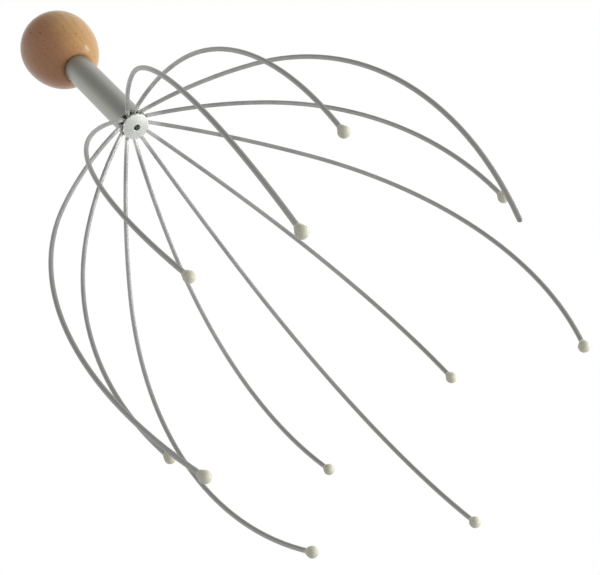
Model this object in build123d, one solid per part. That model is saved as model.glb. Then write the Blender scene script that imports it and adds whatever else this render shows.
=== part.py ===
"""Hand-held scalp massager: a ring of sprung wires held in the mouth of a tube handle with a turned knob.

Frame: +Z runs up the handle to the knob. The origin is on the axis, in the plane of the tube's mouth,
so the wires hang below it and their tips point down. Lengths are in millimetres, angles in degrees.
"""

import os
from math import asin, cos, degrees, radians, sin, sqrt

from build123d import *

# ---- wires ------------------------------------------------------------------------------------------
WIRE_COUNT = 12
WIRE_DIAMETER = 1.5
LONG_WIRE = 205.0          # along the wire, from the tube's mouth to the middle of the bead
SHORT_WIRE = 157.5
STUB_LENGTH = 1.6          # straight end inside the tube's mouth
STUB_GAP = 0.27            # between neighbouring stubs
ROOT_BEND_RADIUS = 1.3     # centreline of the sharp bend at the mouth
ROOT_TURN = 80.0           # the sharp bend lays the wire out over the tube's rim
KNEE_RADIUS = 3.0          # centreline of the bend back down that follows it
SHOULDER_SHARE = 0.3       # part of the free length, next to the knee, that bends least
LONG_SHOULDER_TURN = 0.17  # share of a long wire's curl that its shoulder makes
SHORT_SHOULDER_TURN = 0.24
BARE_TIP_ROUNDING = 0.6
FIRST_SEAT_TURN = -80.0    # of wire 1 about +Z, from +X

# The wires are bent by hand, so no two are alike. Each row is one wire, in order round the ring:
#   swing  turn of its bend plane about the stub, away from straight outwards
#   splay  angle at which it leaves the knee, from straight down
#   curl   whole turn back in towards the axis, from the knee to the tip
#   lean   turn of the curl about the direction in which the wire leaves the knee
BENDS = (
    (4, 50.5, 65.5, -5.5),
    (0, 54, 65, -2.5),
    (-3.5, 47, 70, -3),
    (-1, 50, 56.5, 2.5),
    (-0.5, 49, 74.5, -1.5),
    (5, 47, 57, 0),
    (2.5, 48.5, 71.5, -1),
    (-4, 55.5, 70.5, -2),
    (-2, 48.5, 80, 3.5),
    (3, 50.5, 60.5, -3),
    (2, 48, 68, -0.5),
    (-1, 50.5, 62.5, 2.5),
)
BARE_WIRE_NUMBER = 3       # this wire ends in a rounded tip and has no bead

# ---- tip beads --------------------------------------------------------------------------------------
BEAD_DIAMETER = 3.6
BEAD_TAPER_ANGLE = 25.0    # half angle of the cone that runs from the ball up to the wire
BEAD_END_WALL = 0.12       # resin left round the wire where the cone ends
BEAD_FIT = 0.04            # radial, for the adhesive

# ---- handle tube ------------------------------------------------------------------------------------
SEAT_CLEARANCE = 0.33      # radial, between the stubs and the tube's bore
TUBE_WALL = 1.0
TUBE_EXPOSED = 48.8        # from the mouth to the knob
TUBE_IN_KNOB = 17.0
TUBE_EDGE_BREAK = 0.2      # chamfer on both ends, inside and out

# ---- turned knob ------------------------------------------------------------------------------------
KNOB_DIAMETER = 29.6
KNOB_TAPER_LENGTH = 20.3   # from the widest ring to where the egg's point would be
KNOB_END_WALL = 0.9        # wood left round the tube at the end face
KNOB_FIT = 0.02            # radial, tube in knob
KNOB_BORE_SPARE = 0.5      # beyond the tube's inner end

# ---- hub plug ---------------------------------------------------------------------------------------
PLUG_HEAD_DIAMETER = 10.0
PLUG_HEAD_GAP = 0.55       # along the axis, between the wires and the head's edge
PLUG_SIDE_HEIGHT = 0.9     # upright side of the head
PLUG_DOME_HEIGHT = 0.6
PLUG_FACE_ROUNDING = 0.5
PLUG_BACK_ROUNDING = 0.15
STEM_GAP = 0.3             # radial, between the stubs and the stem at the mouth
STEM_LENGTH = 9.0          # above the mouth
STEM_END_DIAMETER = 1.8
PLUG_HOLE_DIAMETER = 2.4
PLUG_HOLE_ABOVE_MOUTH = 1.2
PLUG_HOLE_ROUNDING = 0.2

# ---- sizes that follow ------------------------------------------------------------------------------
SEAT_ANGLE = 360 / WIRE_COUNT
WIRE_RADIUS = WIRE_DIAMETER / 2
RING_RADIUS = (WIRE_DIAMETER + STUB_GAP) / (2 * sin(radians(SEAT_ANGLE / 2)))
TUBE_BORE_RADIUS = RING_RADIUS + WIRE_RADIUS + SEAT_CLEARANCE
TUBE_RADIUS = TUBE_BORE_RADIUS + TUBE_WALL
KNOB_RADIUS = KNOB_DIAMETER / 2
KNOB_END_RADIUS = TUBE_RADIUS + KNOB_END_WALL
KNOB_END_ANGLE = asin(KNOB_END_RADIUS / KNOB_RADIUS)  # place of the end face on the egg's outline
KNOB_WIDEST = TUBE_EXPOSED + KNOB_TAPER_LENGTH * cos(KNOB_END_ANGLE)
STEM_MOUTH_RADIUS = RING_RADIUS - WIRE_RADIUS - STEM_GAP


def up_from(z):
    """A place on the axis at height z."""
    return Pos(0, 0, z)


def upright_cylinder(radius, length):
    """A cylinder that stands on the XY plane."""
    return Cylinder(radius, length, align=(Align.CENTER, Align.CENTER, Align.MIN))


def rings(shape):
    """The full circles among a shape's edges, lowest first."""
    return shape.edges().filter_by(lambda edge: edge.is_closed).sort_by(Axis.Z)


def turned(outline):
    """A solid of revolution about Z. The face of its outline has radius along X and height along Y."""
    return revolve(Plane.XZ * outline, Axis.Z)


def wooden_knob():
    """Turned egg, round at the top and drawn out towards the tube, bored from below to take it."""
    centre = (0, KNOB_WIDEST)
    taper_turn = 90 - degrees(KNOB_END_ANGLE)
    ellipse = EllipticalCenterArc(centre, KNOB_RADIUS, KNOB_TAPER_LENGTH, -taper_turn, arc_size=taper_turn)
    # A spline follows the ellipse, whose own solid of revolution comes back from a STEP file damaged.
    taper = Spline(ellipse @ 0, ellipse @ 0.5, ellipse @ 1, tangents=(ellipse % 0, ellipse % 1))
    top = CenterArc(centre, KNOB_RADIUS, 0, 90)
    inside = Polyline(top @ 1, (0, TUBE_EXPOSED), taper @ 0)
    bore = up_from(TUBE_EXPOSED) * upright_cylinder(TUBE_RADIUS + KNOB_FIT, TUBE_IN_KNOB + KNOB_BORE_SPARE)
    return turned(make_face([taper, top, inside])) - bore


def handle_tube():
    """Plain drawn tube with its sharp edges broken."""
    length = TUBE_EXPOSED + TUBE_IN_KNOB
    tube = upright_cylinder(TUBE_RADIUS, length) - upright_cylinder(TUBE_BORE_RADIUS, length)
    return chamfer(rings(tube), TUBE_EDGE_BREAK)


def wire_underside(radius):
    """Height of the wires' lower surface where they pass a radius in their knee."""
    turn = radians(ROOT_TURN)
    knee_centre_radius = RING_RADIUS + ROOT_BEND_RADIUS - (ROOT_BEND_RADIUS + KNEE_RADIUS) * cos(turn)
    knee_centre_height = -(ROOT_BEND_RADIUS + KNEE_RADIUS) * sin(turn)
    inner_radius = KNEE_RADIUS - WIRE_RADIUS
    return knee_centre_height + sqrt(inner_radius**2 - (radius - knee_centre_radius)**2)


def hub_plug():
    """Button with a blind centre hole, whose tapered stem fills the middle of the ring of stubs."""
    head_radius = PLUG_HEAD_DIAMETER / 2
    hole_radius = PLUG_HOLE_DIAMETER / 2
    back = wire_underside(head_radius) - PLUG_HEAD_GAP
    face_edge = back - PLUG_SIDE_HEIGHT
    dome_radius = (head_radius**2 + PLUG_DOME_HEIGHT**2) / (2 * PLUG_DOME_HEIGHT)
    dome_centre = face_edge - PLUG_DOME_HEIGHT + dome_radius
    hole_rim = dome_centre - sqrt(dome_radius**2 - hole_radius**2)
    dome = RadiusArc((hole_radius, hole_rim), (head_radius, face_edge), -dome_radius)
    sides = Polyline(
        (head_radius, face_edge),
        (head_radius, back),
        (STEM_MOUTH_RADIUS, back),
        (STEM_MOUTH_RADIUS, 0),
        (STEM_END_DIAMETER / 2, STEM_LENGTH),
        (0, STEM_LENGTH),
        (0, PLUG_HOLE_ABOVE_MOUTH),
        (hole_radius, PLUG_HOLE_ABOVE_MOUTH),
        (hole_radius, hole_rim),
    )
    outline = make_face([dome, sides])
    roundings = {
        (head_radius, face_edge): PLUG_FACE_ROUNDING,
        (head_radius, back): PLUG_BACK_ROUNDING,
        (hole_radius, hole_rim): PLUG_HOLE_ROUNDING,
    }
    for corner, rounding in roundings.items():
        outline = fillet(outline.vertices().sort_by_distance(corner)[0], rounding)
    return turned(outline)


def is_long(number):
    """Long and short wires take turns, and wire 1 is long."""
    return number % 2 == 1


def wire_path(number):
    """Centreline of one wire: stub, root bend, knee, flat shoulder and the round sweep to the tip."""
    swing, splay, curl, lean = BENDS[(number - 1) % len(BENDS)]
    seat = FIRST_SEAT_TURN + (number - 1) * SEAT_ANGLE
    seat_point = Vector(RING_RADIUS, 0).rotate(Axis.Z, seat)
    sideways = Vector(0, -1).rotate(Axis.Z, seat + swing)
    bend_plane = Plane(seat_point, x_dir=(0, 0, -1), z_dir=sideways)
    stub = Line((-STUB_LENGTH, 0), (0, 0))
    root = JernArc((0, 0), (1, 0), ROOT_BEND_RADIUS, ROOT_TURN)
    knee = JernArc(root @ 1, root % 1, KNEE_RADIUS, splay - ROOT_TURN)
    start = bend_plane * Wire([stub, root, knee])

    length = LONG_WIRE if is_long(number) else SHORT_WIRE
    free = length - (start.length - STUB_LENGTH)
    shoulder_turn = curl * (LONG_SHOULDER_TURN if is_long(number) else SHORT_SHOULDER_TURN)
    sweep_turn = curl - shoulder_turn
    shoulder_radius = free * SHOULDER_SHARE / radians(shoulder_turn)
    sweep_radius = free * (1 - SHOULDER_SHARE) / radians(sweep_turn)
    curl_plane = Plane(Plane(start @ 1, x_dir=start % 1, z_dir=sideways).location * Rotation(lean, 0, 0))
    shoulder = JernArc((0, 0), (1, 0), shoulder_radius, -shoulder_turn)
    arm = JernArc(shoulder @ 1, shoulder % 1, sweep_radius, -sweep_turn)
    return Wire([*start.edges(), curl_plane * shoulder, curl_plane * arm])


def spring_wire(path, bare):
    """Round wire swept along its centreline. A bare one has its free end rounded over."""
    section = Plane(path @ 0, z_dir=path % 0) * Circle(WIRE_RADIUS)
    wire = sweep(section, path)
    if bare:
        wire = fillet(rings(wire).sort_by_distance(path @ 1)[0], BARE_TIP_ROUNDING)
    return wire


def tip_bead(path):
    """Resin drop that tapers up the wire. The wire stops at the middle of its ball."""
    ball_radius = BEAD_DIAMETER / 2
    end_radius = WIRE_RADIUS + BEAD_END_WALL
    fit_radius = WIRE_RADIUS + BEAD_FIT
    taper = radians(BEAD_TAPER_ANGLE)
    ball = CenterArc((0, 0), ball_radius, -BEAD_TAPER_ANGLE, 90 + BEAD_TAPER_ANGLE)
    taper_length = (ball_radius * cos(taper) - end_radius) / sin(taper)
    end = -ball_radius * sin(taper) - taper_length * cos(taper)
    sides = Polyline(
        ball @ 1,
        (0, BEAD_FIT),
        (fit_radius, BEAD_FIT),
        (fit_radius, end),
        (end_radius, end),
        ball @ 0,
    )
    return Plane(path @ 1, z_dir=path % 1) * turned(make_face([ball, sides]))


nodes = {
    "wooden_knob": wooden_knob(),
    "handle_tube": handle_tube(),
    "hub_plug": hub_plug(),
}
for number in range(1, WIRE_COUNT + 1):
    path = wire_path(number)
    bare = number == BARE_WIRE_NUMBER
    nodes[f"wire_{number:02d}"] = spring_wire(path, bare)
    if not bare:
        nodes[f"tip_bead_{number:02d}"] = tip_bead(path)

os.makedirs("parts", exist_ok=True)
for name, shape in nodes.items():
    export_step(shape, f"parts/{name}.step")
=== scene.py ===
"""Wire scalp massager with a turned wooden knob: finishes, soft studio light, floor and camera."""

import math

import bmesh
import bpy
from mathutils import Matrix, Vector


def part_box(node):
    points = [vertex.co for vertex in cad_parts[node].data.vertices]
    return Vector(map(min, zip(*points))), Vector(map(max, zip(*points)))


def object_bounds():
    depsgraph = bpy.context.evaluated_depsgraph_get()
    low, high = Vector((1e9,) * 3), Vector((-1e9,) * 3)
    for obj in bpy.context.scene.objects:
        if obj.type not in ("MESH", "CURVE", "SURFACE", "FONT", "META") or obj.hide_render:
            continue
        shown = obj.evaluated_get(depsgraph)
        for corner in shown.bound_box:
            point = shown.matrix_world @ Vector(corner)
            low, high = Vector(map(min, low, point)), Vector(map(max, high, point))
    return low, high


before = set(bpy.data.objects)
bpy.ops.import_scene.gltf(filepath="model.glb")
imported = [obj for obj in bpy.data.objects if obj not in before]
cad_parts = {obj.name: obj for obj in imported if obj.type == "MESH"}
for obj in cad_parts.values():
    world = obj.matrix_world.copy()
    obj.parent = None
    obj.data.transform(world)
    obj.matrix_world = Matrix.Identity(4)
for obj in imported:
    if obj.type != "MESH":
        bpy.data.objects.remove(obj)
CAD_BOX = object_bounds()

MM = 0.001
PER_MM = (1 / MM,) * 3

# At scale 1, Blender's wave texture repeats at this distance.
WAVE_REPEAT = math.pi / 10

# The camera stands below and in front of the piece, looks up at it and leans over to the right.
CAMERA_PLACE = Vector((0.0, -310.4, -408.6)) * MM
CAMERA_LOOKS_UP = 43.24
CAMERA_LOOKS_ASIDE = -0.165
CAMERA_LEANS = 44.93
LENS = 84.0
SENSOR_WIDTH = 36.0

# The tips dip by this much when the wires are pressed together, so the floor lies that much below them.
TIP_DIP = 7 * MM
FLOOR_RADIUS = 3.0
FLOOR_SHADOW_ENDS = (0.10, 0.42)

# The room's light on matt surfaces, and its dimmer side in shiny ones, with the cosine at which that begins.
PLAIN_LEVEL = 0.40
DIM_SIDE = Vector((0.13, -0.59, 0.80))
DIM_LEVEL = 0.46
DIM_BEGINS = 0.72


def linear(hex_colour):
    """Turns an sRGB hex colour into the linear colour that a shader works with."""
    parts = [int(hex_colour[i:i + 2], 16) / 255 for i in (1, 3, 5)]
    light = [p / 12.92 if p <= 0.04045 else ((p + 0.055) / 1.055) ** 2.4 for p in parts]
    return (*light, 1.0)


def add(tree, kind, inputs=None, **settings):
    """Adds a node with its settings. An input that is another node's socket is linked, and any other is
    set."""
    made = tree.nodes.new(kind)
    for name, value in settings.items():
        setattr(made, name, value)
    for name, value in (inputs or {}).items():
        if isinstance(value, bpy.types.NodeSocket):
            tree.links.new(value, made.inputs[name])
        else:
            made.inputs[name].default_value = value
    return made


def new_material(name):
    """An empty material and its node tree."""
    made = bpy.data.materials.new(name)
    made.use_nodes = True
    made.node_tree.nodes.clear()
    return made, made.node_tree


def finish_surface(tree, shader):
    """Sends the shader to the material's output."""
    add(tree, "ShaderNodeOutputMaterial", {"Surface": shader})


def turned_beech(knob):
    """Beech, turned to an egg and lacquered: soft growth rings, short dark flecks along the grain, and
    a colour that goes from red-brown near the pith to yellow in the sapwood, under a clear coat with a
    soft highlight."""
    ring_spacing = 2.4
    fleck_width = 0.45
    fleck_length = 2.2
    drift_size = 12.0
    drift_reach = 12.0
    heart_ends = (18.0, 29.0)
    pith = Vector((19.0, 9.0, 0.0))
    grain_lean = math.radians(9)

    low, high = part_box(knob)
    radius = (high.x - low.x) / 2
    centre = Vector((0.0, 0.0, high.z - radius)) / MM
    lean = Matrix.Rotation(grain_lean, 3, "X")
    material, tree = new_material("turned_beech")
    place = add(tree, "ShaderNodeTexCoord")
    in_mm = add(tree, "ShaderNodeMapping", {
        "Vector": place.outputs["Object"],
        "Scale": PER_MM,
        "Rotation": (grain_lean, 0.0, 0.0),
        "Location": pith - lean @ centre,
    })

    rings = add(tree, "ShaderNodeTexWave", {
        "Vector": in_mm.outputs["Vector"],
        "Scale": WAVE_REPEAT / ring_spacing,
        "Distortion": 5.0,
        "Detail": 2.0,
        "Detail Scale": 0.5,
    }, wave_type="RINGS", rings_direction="Z", wave_profile="SAW")
    late_wood = add(tree, "ShaderNodeMapRange", {
        "Value": rings.outputs["Fac"],
        "From Min": 0.35,
        "From Max": 1.0,
    }, interpolation_type="SMOOTHSTEP")
    drift = add(tree, "ShaderNodeTexNoise", {
        "Vector": in_mm.outputs["Vector"],
        "Scale": 1 / drift_size,
        "Detail": 1.0,
    })
    across_grain = add(tree, "ShaderNodeVectorMath", {
        0: in_mm.outputs["Vector"],
        1: (1.0, 1.0, 0.0),
    }, operation="MULTIPLY")
    from_pith = add(tree, "ShaderNodeVectorMath", {0: across_grain.outputs["Vector"]}, operation="LENGTH")
    drifted = add(tree, "ShaderNodeMath", {
        0: drift.outputs["Fac"],
        1: drift_reach,
        2: from_pith.outputs["Value"],
    }, operation="MULTIPLY_ADD")
    sapwood = add(tree, "ShaderNodeMapRange", {
        "Value": drifted.outputs["Value"],
        "From Min": heart_ends[0] + drift_reach / 2,
        "From Max": heart_ends[1] + drift_reach / 2,
    }, interpolation_type="SMOOTHSTEP")
    ground = add(tree, "ShaderNodeMix", {
        "Factor": sapwood.outputs["Result"],
        6: linear("#a8744e"),
        7: linear("#b88e57"),
    }, data_type="RGBA")
    ringed = add(tree, "ShaderNodeMix", {
        "Factor": late_wood.outputs["Result"],
        6: ground.outputs[2],
        7: linear("#96683e"),
    }, data_type="RGBA")
    rings_show = add(tree, "ShaderNodeMix", {
        "Factor": 0.22,
        6: ground.outputs[2],
        7: ringed.outputs[2],
    }, data_type="RGBA")

    along_grain = add(tree, "ShaderNodeVectorMath", {
        0: in_mm.outputs["Vector"],
        1: (1 / fleck_width, 1 / fleck_width, 1 / fleck_length),
    }, operation="MULTIPLY")
    fleck_noise = add(tree, "ShaderNodeTexNoise", {
        "Vector": along_grain.outputs["Vector"],
        "Scale": 1.0,
        "Detail": 0.0,
    })
    flecks = add(tree, "ShaderNodeMapRange", {
        "Value": fleck_noise.outputs["Fac"],
        "From Min": 0.71,
        "From Max": 0.82,
    }, interpolation_type="SMOOTHSTEP")
    colour = add(tree, "ShaderNodeMix", {
        "Factor": flecks.outputs["Result"],
        6: rings_show.outputs[2],
        7: linear("#5f4530"),
    }, data_type="RGBA")
    relief = add(tree, "ShaderNodeBump", {
        "Strength": 0.12,
        "Distance": 0.05 * MM,
        "Height": flecks.outputs["Result"],
    }, invert=True)
    wood = add(tree, "ShaderNodeBsdfPrincipled", {
        "Base Color": colour.outputs[2],
        "Roughness": 0.5,
        "IOR": 1.3,
        "Coat Weight": 0.6,
        "Coat Roughness": 0.16,
        "Coat IOR": 1.5,
        "Normal": relief.outputs["Normal"],
    })
    finish_surface(tree, wood.outputs["BSDF"])
    return material


def satin_aluminium(tube):
    """Aluminium tube, drawn and satin finished: a soft grey sheen with fine lines along its length, and
    a painted highlight in its bore, which is painted near white to lift the shade inside it. The real
    lines are finer than a tenth of a millimetre, and are drawn wider here so that they show."""
    line_width = 0.35
    line_length = 14.0
    bore_light_edge = 0.3

    low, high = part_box(tube)
    radius = (high.x - low.x) / 2 / MM

    material, tree = new_material("satin_aluminium")
    place = add(tree, "ShaderNodeTexCoord")
    along_tube = add(tree, "ShaderNodeMapping", {
        "Vector": place.outputs["Object"],
        "Scale": (1 / MM / line_width, 1 / MM / line_width, 1 / MM / line_length),
    })
    lines = add(tree, "ShaderNodeTexNoise", {
        "Vector": along_tube.outputs["Vector"],
        "Scale": 1.0,
        "Detail": 2.0,
    })
    satin = add(tree, "ShaderNodeMix", {
        "Factor": lines.outputs["Fac"],
        6: linear("#959690"),
        7: linear("#a0a09a"),
    }, data_type="RGBA")
    across_tube = add(tree, "ShaderNodeVectorMath", {
        0: place.outputs["Object"],
        1: (1 / MM, 1 / MM, 0.0),
    }, operation="MULTIPLY")
    from_axis = add(tree, "ShaderNodeVectorMath", {0: across_tube.outputs["Vector"]}, operation="LENGTH")
    outside_bore_light = add(tree, "ShaderNodeMapRange", {
        "Value": from_axis.outputs["Value"],
        "From Min": radius - 2 * bore_light_edge,
        "From Max": radius - bore_light_edge,
    })
    # Painted light: inside the bore the metal is painted near white (#e6e6e3), to lift the shade that falls
    # there.
    colour = add(tree, "ShaderNodeMix", {
        "Factor": outside_bore_light.outputs["Result"],
        6: linear("#e6e6e3"),
        7: satin.outputs[2],
    }, data_type="RGBA")
    roughness = add(tree, "ShaderNodeMapRange", {
        "Value": lines.outputs["Fac"],
        "To Min": 0.26,
        "To Max": 0.38,
    })
    relief = add(tree, "ShaderNodeBump", {
        "Strength": 0.10,
        "Distance": 0.02 * MM,
        "Height": lines.outputs["Fac"],
    })
    metal = add(tree, "ShaderNodeBsdfPrincipled", {
        "Base Color": colour.outputs[2],
        "Metallic": 1.0,
        "Roughness": roughness.outputs["Result"],
        "Normal": relief.outputs["Normal"],
    })
    finish_surface(tree, metal.outputs["BSDF"])
    return material


def bright_nickel_plate():
    """Nickel plate on a turned plug: nearly white, with the tool's fine rings round the middle. Their
    real pitch is about 0.1 mm, and they are drawn coarser so that they show."""
    tool_pitch = 0.3

    material, tree = new_material("bright_nickel_plate")
    place = add(tree, "ShaderNodeTexCoord")
    in_mm = add(tree, "ShaderNodeMapping", {
        "Vector": place.outputs["Object"],
        "Scale": PER_MM,
    })
    rings = add(tree, "ShaderNodeTexWave", {
        "Vector": in_mm.outputs["Vector"],
        "Scale": WAVE_REPEAT / tool_pitch,
        "Distortion": 0.3,
    }, wave_type="RINGS", rings_direction="Z")
    stains = add(tree, "ShaderNodeTexNoise", {
        "Vector": in_mm.outputs["Vector"],
        "Scale": 0.5,
        "Detail": 3.0,
    })
    colour = add(tree, "ShaderNodeMix", {
        "Factor": stains.outputs["Fac"],
        6: linear("#dcdeda"),
        7: linear("#ebede8"),
    }, data_type="RGBA")
    roughness = add(tree, "ShaderNodeMapRange", {
        "Value": stains.outputs["Fac"],
        "To Min": 0.37,
        "To Max": 0.45,
    })
    relief = add(tree, "ShaderNodeBump", {
        "Strength": 0.03,
        "Distance": 0.01 * MM,
        "Height": rings.outputs["Fac"],
    })
    metal = add(tree, "ShaderNodeBsdfPrincipled", {
        "Base Color": colour.outputs[2],
        "Metallic": 1.0,
        "Roughness": roughness.outputs["Result"],
        "Normal": relief.outputs["Normal"],
    })
    finish_surface(tree, metal.outputs["BSDF"])
    return material


def drawn_spring_wire():
    """Spring steel wire, hard drawn: an even grey sheen, dulled in patches by oil and hands. Painted light
    brightens the roots near the mouth, where shade falls between them, and painted shade darkens the
    wire towards the tips. Its fine grain is drawn coarser than the die marks are, so that it shows."""
    patch_size = 7.0
    grain_size = 0.4
    # In mm from the mouth: where the painted light on the roots fades out, and where the painted shade
    # towards the tips grows.
    root_light_ends = (6.0, 14.0)
    tip_shade_ends = (30.0, 130.0)

    material, tree = new_material("drawn_spring_wire")
    place = add(tree, "ShaderNodeTexCoord")
    patches = add(tree, "ShaderNodeTexNoise", {
        "Vector": place.outputs["Object"],
        "Scale": 1 / (patch_size * MM),
        "Detail": 2.0,
    })
    grain = add(tree, "ShaderNodeTexNoise", {
        "Vector": place.outputs["Object"],
        "Scale": 1 / (grain_size * MM),
        "Detail": 1.0,
    })
    dulled = add(tree, "ShaderNodeMapRange", {
        "Value": patches.outputs["Fac"],
        "From Min": 0.38,
        "From Max": 0.66,
    }, interpolation_type="SMOOTHSTEP")
    drawn = add(tree, "ShaderNodeMix", {
        "Factor": dulled.outputs["Result"],
        6: linear("#a9a9a8"),
        7: linear("#9c9c9a"),
    }, data_type="RGBA")
    in_mm = add(tree, "ShaderNodeVectorMath", {
        0: place.outputs["Object"],
        1: PER_MM,
    }, operation="MULTIPLY")
    from_mouth = add(tree, "ShaderNodeVectorMath", {0: in_mm.outputs["Vector"]}, operation="LENGTH")
    # Painted shade: the wire is painted darker (#959592) towards the tips.
    tip_shade = add(tree, "ShaderNodeMapRange", {
        "Value": from_mouth.outputs["Value"],
        "From Min": tip_shade_ends[0],
        "From Max": tip_shade_ends[1],
    })
    shaded_to_tips = add(tree, "ShaderNodeMix", {
        "Factor": tip_shade.outputs["Result"],
        6: drawn.outputs[2],
        7: linear("#959592"),
    }, data_type="RGBA")
    # Painted light: the roots near the mouth are painted near white (#dadad8), to lift the shade between
    # them.
    past_root_light = add(tree, "ShaderNodeMapRange", {
        "Value": from_mouth.outputs["Value"],
        "From Min": root_light_ends[0],
        "From Max": root_light_ends[1],
    }, interpolation_type="SMOOTHSTEP")
    colour = add(tree, "ShaderNodeMix", {
        "Factor": past_root_light.outputs["Result"],
        6: linear("#dadad8"),
        7: shaded_to_tips.outputs[2],
    }, data_type="RGBA")
    roughness = add(tree, "ShaderNodeMapRange", {
        "Value": grain.outputs["Fac"],
        "To Min": 0.42,
        "To Max": 0.52,
    })
    relief = add(tree, "ShaderNodeBump", {
        "Strength": 0.02,
        "Distance": 0.01 * MM,
        "Height": grain.outputs["Fac"],
    })
    metal = add(tree, "ShaderNodeBsdfPrincipled", {
        "Base Color": colour.outputs[2],
        "Metallic": 1.0,
        "Roughness": roughness.outputs["Result"],
        "Normal": relief.outputs["Normal"],
    })
    finish_surface(tree, metal.outputs["BSDF"])
    return material


def dipped_resin():
    """Cream resin, dipped in drops and cured: a waxy, slightly uneven skin that light enters a little,
    paler and greyer in soft clouds."""
    lump_size = 1.6
    cloud_size = 2.5

    material, tree = new_material("dipped_resin")
    place = add(tree, "ShaderNodeTexCoord")
    lumps = add(tree, "ShaderNodeTexNoise", {
        "Vector": place.outputs["Object"],
        "Scale": 1 / (lump_size * MM),
        "Detail": 1.0,
    })
    clouds = add(tree, "ShaderNodeTexNoise", {
        "Vector": place.outputs["Object"],
        "Scale": 1 / (cloud_size * MM),
        "Detail": 2.0,
    })
    colour = add(tree, "ShaderNodeMix", {
        "Factor": clouds.outputs["Fac"],
        6: linear("#c3c3af"),
        7: linear("#d6d4c4"),
    }, data_type="RGBA")
    relief = add(tree, "ShaderNodeBump", {
        "Strength": 0.12,
        "Distance": 0.1 * MM,
        "Height": lumps.outputs["Fac"],
    })
    resin = add(tree, "ShaderNodeBsdfPrincipled", {
        "Base Color": colour.outputs[2],
        "Roughness": 0.5,
        "IOR": 1.5,
        "Subsurface Weight": 0.1,
        "Subsurface Radius": (1.0, 0.8, 0.5),
        "Subsurface Scale": 0.6 * MM,
        "Normal": relief.outputs["Normal"],
    })
    finish_surface(tree, resin.outputs["BSDF"])
    return material


def dress(material, *nodes):
    """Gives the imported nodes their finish, in the slots that they have."""
    for node in nodes:
        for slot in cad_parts[node].material_slots:
            slot.material = material


def pale_floor(height):
    """A round pale floor under the tips. From below, it isn't there. Away from the piece it turns to
    plain white, so it has no visible far edge."""
    mesh = bpy.data.meshes.new("floor")
    disc = bmesh.new()
    bmesh.ops.create_circle(disc, cap_ends=True, radius=FLOOR_RADIUS, segments=96)
    disc.to_mesh(mesh)
    disc.free()
    floor = bpy.data.objects.new("floor", mesh)
    floor.location.z = height
    bpy.context.scene.collection.objects.link(floor)

    material, tree = new_material("pale_floor")
    path = add(tree, "ShaderNodeLightPath")
    side = add(tree, "ShaderNodeNewGeometry")
    place = add(tree, "ShaderNodeTexCoord")
    away = add(tree, "ShaderNodeVectorMath", {0: place.outputs["Object"]}, operation="LENGTH")
    plain = add(tree, "ShaderNodeMapRange", {
        "Value": away.outputs["Value"],
        "From Min": FLOOR_SHADOW_ENDS[0],
        "From Max": FLOOR_SHADOW_ENDS[1],
    }, interpolation_type="SMOOTHSTEP")
    seen = add(tree, "ShaderNodeMath", {
        0: path.outputs["Is Camera Ray"],
        1: path.outputs["Is Glossy Ray"],
    }, operation="MAXIMUM")
    plain_seen = add(tree, "ShaderNodeMath", {
        0: plain.outputs["Result"],
        1: seen.outputs["Value"],
    }, operation="MULTIPLY")
    paint = add(tree, "ShaderNodeBsdfDiffuse", {"Color": linear("#f2f2f0")})
    white = add(tree, "ShaderNodeEmission")
    top = add(tree, "ShaderNodeMixShader", {
        "Fac": plain_seen.outputs["Value"],
        1: paint.outputs["BSDF"],
        2: white.outputs["Emission"],
    })
    clear = add(tree, "ShaderNodeBsdfTransparent")
    gone = add(tree, "ShaderNodeMath", {
        0: side.outputs["Backfacing"],
        1: path.outputs["Is Shadow Ray"],
    }, operation="MAXIMUM")
    both = add(tree, "ShaderNodeMixShader", {
        "Fac": gone.outputs["Value"],
        1: top.outputs["Shader"],
        2: clear.outputs["BSDF"],
    })
    finish_surface(tree, both.outputs["Shader"])
    mesh.materials.append(material)


def white_room():
    """A white room with plain light. In reflections it is dimmer on one side, where no wall is lit."""
    world = bpy.data.worlds.new("white_room")
    world.use_nodes = True
    tree = world.node_tree
    tree.nodes.clear()
    bpy.context.scene.world = world

    path = add(tree, "ShaderNodeLightPath")
    place = add(tree, "ShaderNodeTexCoord")
    towards_dim = add(tree, "ShaderNodeVectorMath", {
        0: place.outputs["Generated"],
        1: DIM_SIDE.normalized(),
    }, operation="DOT_PRODUCT")
    level = add(tree, "ShaderNodeMapRange", {
        "Value": towards_dim.outputs["Value"],
        "From Min": DIM_BEGINS,
        "From Max": 1.0,
        "To Min": 1.0,
        "To Max": DIM_LEVEL,
    })
    plain = add(tree, "ShaderNodeBackground", {"Strength": PLAIN_LEVEL})
    reflected = add(tree, "ShaderNodeBackground", {"Strength": level.outputs["Result"]})
    white = add(tree, "ShaderNodeBackground", {"Strength": 1.0})
    for background in (plain, reflected, white):
        background.inputs["Color"].default_value = linear("#ffffff")
    clear_view = add(tree, "ShaderNodeMath", {
        0: path.outputs["Is Camera Ray"],
        1: path.outputs["Is Transmission Ray"],
    }, operation="MAXIMUM")
    room = add(tree, "ShaderNodeMixShader", {
        "Fac": path.outputs["Is Glossy Ray"],
        1: plain.outputs["Background"],
        2: reflected.outputs["Background"],
    })
    all_rays = add(tree, "ShaderNodeMixShader", {
        "Fac": clear_view.outputs["Value"],
        1: room.outputs["Shader"],
        2: white.outputs["Background"],
    })
    add(tree, "ShaderNodeOutputWorld", {"Surface": all_rays.outputs["Shader"]})


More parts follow.
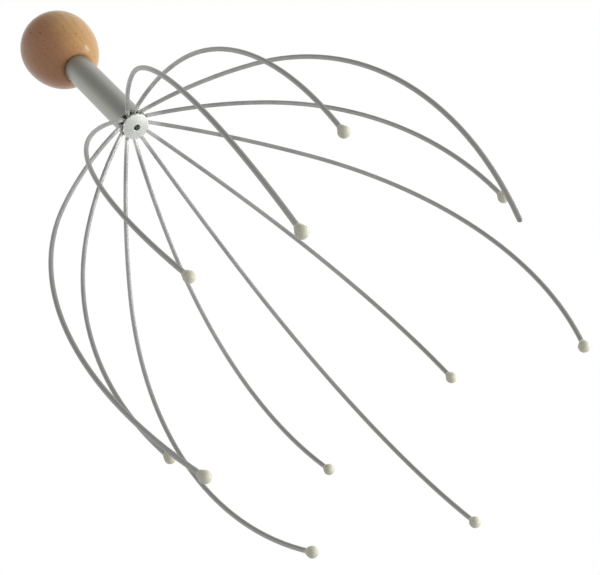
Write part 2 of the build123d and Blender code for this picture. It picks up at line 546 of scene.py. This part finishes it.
def soft_lamp(name, from_side, distance, across, watts, mirrored):
    """A square soft lamp that stands on that side of the piece, at that distance from its middle and
    turned to it. Shiny surfaces show it only if it is mirrored."""
    low, high = CAD_BOX
    middle = (low + high) / 2
    light = bpy.data.lights.new(name, "AREA")
    light.shape = "SQUARE"
    light.size = across
    light.energy = watts
    lamp = bpy.data.objects.new(name, light)
    bpy.context.scene.collection.objects.link(lamp)
    side = Vector(from_side).normalized()
    lamp.location = middle + side * distance
    lamp.rotation_mode = "QUATERNION"
    lamp.rotation_quaternion = (-side).to_track_quat("-Z", "Y")
    lamp.visible_camera = False
    lamp.visible_glossy = mirrored


def camera():
    """The camera, at the place and with the turn and lens that are given at the top."""
    data = bpy.data.cameras.new("camera")
    data.sensor_fit = "HORIZONTAL"
    data.sensor_width = SENSOR_WIDTH
    data.lens = LENS
    data.clip_start = 10 * MM
    data.clip_end = 100.0
    made = bpy.data.objects.new("camera", data)
    bpy.context.scene.collection.objects.link(made)
    upright = math.radians(90 + CAMERA_LOOKS_UP)
    aside = Matrix.Rotation(math.radians(CAMERA_LOOKS_ASIDE), 4, "Z")
    lean = Matrix.Rotation(math.radians(-CAMERA_LEANS), 4, "Z")
    turn = aside @ Matrix.Rotation(upright, 4, "X") @ lean
    made.matrix_world = Matrix.Translation(CAMERA_PLACE) @ turn
    bpy.context.scene.camera = made


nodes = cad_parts
dress(turned_beech("wooden_knob"), "wooden_knob")
dress(satin_aluminium("handle_tube"), "handle_tube")
dress(bright_nickel_plate(), "hub_plug")
dress(drawn_spring_wire(), *[name for name in nodes if name.startswith("wire_")])
dress(dipped_resin(), *[name for name in nodes if name.startswith("tip_bead_")])

pale_floor(CAD_BOX[0].z - TIP_DIP)
white_room()
soft_lamp("key", from_side=(0.70, 0.32, -0.62), distance=0.9, across=0.5, watts=6.2, mirrored=True)
soft_lamp("side", from_side=(0.93, 0.31, -0.17), distance=0.87, across=0.21, watts=1.8, mirrored=True)
soft_lamp("top", from_side=(0.5, 0.5, 0.75), distance=1.2, across=1.0, watts=6.0, mirrored=False)
camera()
bpy.context.scene.view_settings.view_transform = "Standard"
